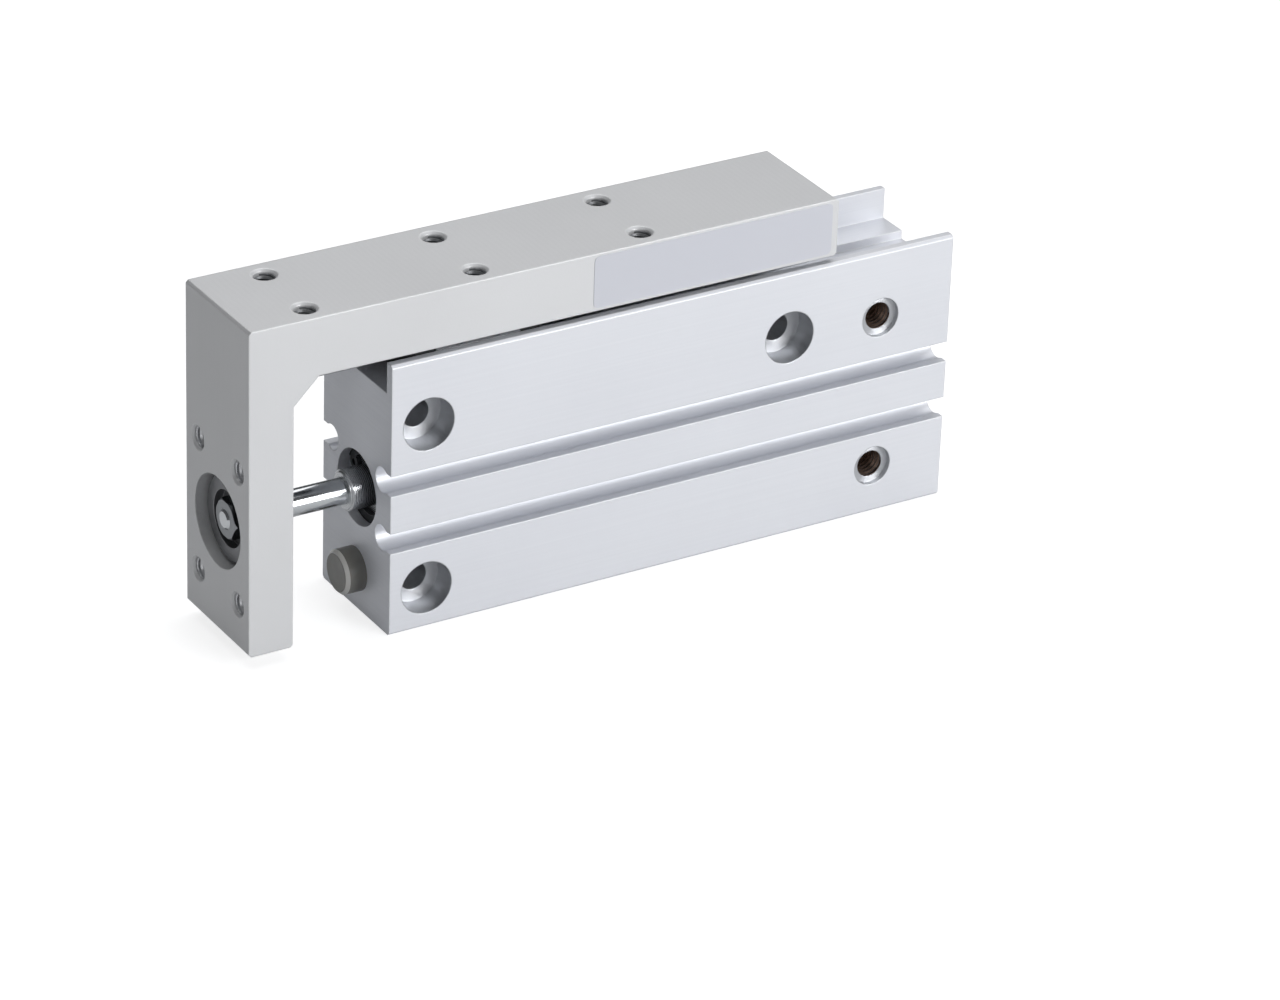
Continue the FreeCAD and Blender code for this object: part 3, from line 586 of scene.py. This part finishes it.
fine = maths(tree, "MULTIPLY_ADD", (lay, "Result"), 0.25, (grain, "Fac"))
bump = bumps(tree, (fine, "Value"), 0.3, 0.00003, bevel)
link(tree, shader, {"Base Color": (worn, "Result"), "Roughness": (gloss, "Result"),
                    "Normal": (bump, "Normal")})
finish_with(milled, "slide_table")

# ---- Threads in the work holes -------------------------------------------------------------
# M4 x 0.7 threads in the table's top, the end plate and the underside of the body.  They are
# bare metal, painted darker as shade in the holes, and painted brightest in the end plate as a
# highlight.

# Painted shade: the table and body threads are darkened, as the shade in their holes.
painted_shade_thread = tapped("bare aluminium, tapped", "#7E8083", "#A2A4A7")
# Painted highlight: the end plate's threads are brightened, as light catching them.
painted_highlight_thread = tapped("bare aluminium, tapped, painted highlight", "#CCCED1", "#E6E7E9")
work_pitch = 0.0007
work_ridge = 0.0002
mouth_play = 0.0006
table_depth = 0.0086
plate_depth = 0.0064
base_depth = 0.0052
groups = [
    ("table_thread", "slide", "anodised_table", painted_shade_thread, table_depth,
     ("table_holes_corners", "table_holes_middle")),
    ("end_plate_thread", "slide", "anodised_table", painted_highlight_thread, plate_depth,
     ("end_plate_holes",)),
    ("base_thread", "cylinder", "anodised_body", painted_shade_thread, base_depth, ("base_holes",)),
]
for name, body, record_slot, material, depth, patterns in groups:
    mesh = bmesh.new()
    for pattern in patterns:
        mount = mounts[pattern]
        dims = mount["dims"]
        outward = Vector(mount["axis"])
        across = (dims.get("spacing_x_mm", 0) / 2000, dims.get("spacing_y_mm", 0) / 2000)
        columns = (-1, 1) if across[0] else (0,)
        rows = (-1, 1) if across[1] else (0,)
        for i in columns:
            for j in rows:
                u, v = i * across[0], j * across[1]
                offset = Vector((0, u, v) if outward.x else (u, v, 0))
                mouth = Vector(mount["pos_m"]) + offset - outward * mouth_play
                wind_thread(mesh, frame_along(mouth, -outward), dims["hole_r_mm"] / 1000,
                            work_ridge, work_pitch, depth - mouth_play, steps=24)
    new_piece(name, mesh, material, body)

# ---- Label place ---------------------------------------------------------------------------
# A blank white polyester label with rounded corners, stuck to the table's side above the body.
# Nothing is printed on it.

film, tree, shader = start_material(
    "polyester film, white", {"Base Color": linear("#C6C8D0"), "IOR": 1.5})
place = add(tree, "ShaderNodeTexCoord")
lift = noise(tree, place, 6, 2.0)
gloss = spread(tree, (lift, "Fac"), 0.25, 0.38)
bump = bumps(tree, (lift, "Fac"), 0.2, 0.00008)
link(tree, shader, {"Roughness": (gloss, "Result"), "Normal": (bump, "Normal")})

low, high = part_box("slide_table")
film_thickness = 0.00006
film_corner = 0.0008
corner_steps = 5
film_margin = 0.00045
film_offset = 0.055
film_length = 0.040
table_thickness = 0.009
film_start = low.x + film_offset
film_end = film_start + film_length
film_bottom = high.z - table_thickness + film_margin
film_top = high.z - film_margin
mesh = bmesh.new()
loops = []
for y in (low.y, low.y - film_thickness):
    loop = []
    corners = [(film_end, film_top, 0), (film_start, film_top, 90), (film_start, film_bottom, 180),
               (film_end, film_bottom, 270)]
    for x, z, first in corners:
        inward_x = film_corner if x == film_start else -film_corner
        inward_z = film_corner if z == film_bottom else -film_corner
        for step in range(corner_steps + 1):
            angle = math.radians(first + step * 90 / corner_steps)
            across = x + inward_x + film_corner * math.cos(angle)
            up = z + inward_z + film_corner * math.sin(angle)
            loop.append(mesh.verts.new((across, y, up)))
    loops.append(loop)
for i in range(len(loops[0])):
    k = (i + 1) % len(loops[0])
    mesh.faces.new((loops[0][i], loops[0][k], loops[1][k], loops[1][i]))
mesh.faces.new(loops[0])
mesh.faces.new(loops[1])
new_piece("blank_label", mesh, film, "slide")

# ---- Rod end bush --------------------------------------------------------------------------
# Turned steel with black oxide, oiled and rubbed to a mid grey with paler edges and faint lathe
# rings.

black_oxide, tree, shader = start_material("steel, black oxide", {"Metallic": 0.8})
place = add(tree, "ShaderNodeTexCoord")
bush_feed = 0.00035
rings = tool_marks(tree, place, bush_feed, {**rings_round_x, "Distortion": 0.5})
patch = noise(tree, place, 2.5, 4.0)
bevel = rounded(tree, 0.15)
edge = edge_wear(tree, bevel)
tint = blend(tree, (patch, "Fac"), "#6A6B6D", "#85868A")
worn = blend(tree, (edge, "Result"), (tint, "Result"), "#B5B6B9")
gloss = spread(tree, (patch, "Fac"), 0.28, 0.42)
bump = bumps(tree, (rings, "Fac"), 0.3, 0.00002, bevel)
link(tree, shader, {"Base Color": (worn, "Result"), "Roughness": (gloss, "Result"),
                    "Normal": (bump, "Normal")})
finish_with(black_oxide, "rod_end_bush")

# ---- Rod end nut ---------------------------------------------------------------------------
# Zinc plated steel: a slightly blue grey with a soft mottle.  Its edges are only rounded, since
# the plating covers them too.

zinc, tree, shader = start_material("steel, zinc plated", {"Metallic": 1.0})
place = add(tree, "ShaderNodeTexCoord")
mottle = noise(tree, place, 1.0, 5.0)
bevel = rounded(tree, 0.12)
tint = blend(tree, (mottle, "Fac"), "#7E8184", "#989B9E")
gloss = spread(tree, (mottle, "Fac"), 0.22, 0.40)
bump = bumps(tree, (mottle, "Fac"), 0.2, 0.00002, bevel)
link(tree, shader, {"Base Color": (tint, "Result"), "Roughness": (gloss, "Result"),
                    "Normal": (bump, "Normal")})
finish_with(zinc, "rod_end_nut")

# ---- Piston rod ----------------------------------------------------------------------------
# Steel bar, hard chromed and ground: nearly a mirror, with faint rings from the centreless
# grinding.

chrome, tree, shader = start_material(
    "hard chrome, ground", {"Base Color": linear("#CDD0D3"), "Metallic": 1.0})
place = add(tree, "ShaderNodeTexCoord")
rings = run_lines(tree, place, (0.3, 12, 12), {"Detail": 3.0})
gloss = spread(tree, (rings, "Fac"), 0.08, 0.20)
bump = bumps(tree, (rings, "Fac"), 0.15, 0.00001)
link(tree, shader, {"Roughness": (gloss, "Result"), "Normal": (bump, "Normal")})
finish_with(chrome, "piston_rod")

# ---- Piston magnet -------------------------------------------------------------------------
# Plastic bonded ferrite ring between the two piston halves: dark grey and matt, with grains
# just coarse enough to see.

ferrite, tree, shader = start_material("ferrite, plastic bonded", {"IOR": 1.6})
place = add(tree, "ShaderNodeTexCoord")
grains = add(tree, "ShaderNodeTexVoronoi", {"Scale": per_mm(0.25)}, {"Vector": (place, "Object")})
tint = blend(tree, (grains, "Distance"), "#303032", "#4A4A4D")
gloss = spread(tree, (grains, "Distance"), 0.45, 0.65)
bump = bumps(tree, (grains, "Distance"), 0.3, 0.00003)
link(tree, shader, {"Base Color": (tint, "Result"), "Roughness": (gloss, "Result"),
                    "Normal": (bump, "Normal")})
finish_with(ferrite, "piston_magnet")

# ---- Floor, lights and camera --------------------------------------------------------------
# A pale studio floor, a soft key lamp from the port side, a wider and weaker one overhead, and a
# small one in front that gives the turned parts their highlights.

floor_size = 8.0
floor_mesh = bmesh.new()
bmesh.ops.create_grid(floor_mesh, x_segments=1, y_segments=1, size=floor_size / 2)
floor_data = bpy.data.meshes.new("studio_floor")
floor_mesh.to_mesh(floor_data)
floor_mesh.free()
floor = bpy.data.objects.new("studio_floor", floor_data)
bpy.context.scene.collection.objects.link(floor)
paper = bpy.data.materials.new("white paper")
paper.use_nodes = True
tree = paper.node_tree
tree.nodes.clear()
matt = add(tree, "ShaderNodeBsdfDiffuse", {"Color": linear("#B4B5B6")})
glow = add(tree, "ShaderNodeEmission", {"Color": linear("#FFFFFF"), "Strength": 0.75})
rays = add(tree, "ShaderNodeLightPath")
mirrored = maths(tree, "MAXIMUM", (rays, "Is Glossy Ray"), (rays, "Is Transmission Ray"))
weaker = maths(tree, "MULTIPLY", (mirrored, "Value"), 0.35)
seen = maths(tree, "MAXIMUM", (rays, "Is Camera Ray"), (weaker, "Value"))
both = add(tree, "ShaderNodeAddShader", links={0: (matt, "BSDF"), 1: (glow, "Emission")})
mixed = add(tree, "ShaderNodeMixShader",
            links={0: (seen, "Value"), 1: (matt, "BSDF"), 2: (both, "Shader")})
add(tree, "ShaderNodeOutputMaterial", links={"Surface": (mixed, "Shader")})
floor_data.materials.append(paper)

world = bpy.data.worlds.new("studio")
bpy.context.scene.world = world
world.use_nodes = True
tree = world.node_tree
tree.nodes.clear()
sky = add(tree, "ShaderNodeBackground", {"Color": linear("#F4F6F8"), "Strength": 0.10})
white = add(tree, "ShaderNodeBackground", {"Color": linear("#FFFFFF"), "Strength": 1.0})
rays = add(tree, "ShaderNodeLightPath")
mixed = add(tree, "ShaderNodeMixShader",
            links={0: (rays, "Is Camera Ray"), 1: (sky, "Background"), 2: (white, "Background")})
add(tree, "ShaderNodeOutputWorld", links={"Surface": (mixed, "Shader")})


def soft_lamp(name, place, target, size, power):
    """Square area lamp that points at the target."""
    data = bpy.data.lights.new(name, "AREA")
    data.shape = "SQUARE"
    data.size = size
    data.energy = power
    lamp = bpy.data.objects.new(name, data)
    lamp.location = place
    lamp.rotation_euler = (Vector(target) - Vector(place)).to_track_quat("-Z", "Y").to_euler()
    bpy.context.scene.collection.objects.link(lamp)


middle = (0, 0, 0.025)
soft_lamp("key", (0.55, -1.15, 0.38), middle, size=0.8, power=15.8)
soft_lamp("front", (-0.95, -0.65, 0.40), middle, size=0.25, power=1.3)
soft_lamp("top", (0.25, 0.30, 1.15), middle, size=1.5, power=12.5)

camera_data = bpy.data.cameras.new("camera")
camera_data.sensor_width = 36.0
camera_data.lens = 162.44
camera_data.clip_start = 0.01
camera = bpy.data.objects.new("camera", camera_data)
camera.location = (-0.38652, -0.63934, 0.40313)
camera.rotation_euler = [math.radians(angle) for angle in (62.1656, -1.8099, -30.9639)]
bpy.context.scene.collection.objects.link(camera)
bpy.context.scene.camera = camera
bpy.context.scene.view_settings.view_transform = "Standard"
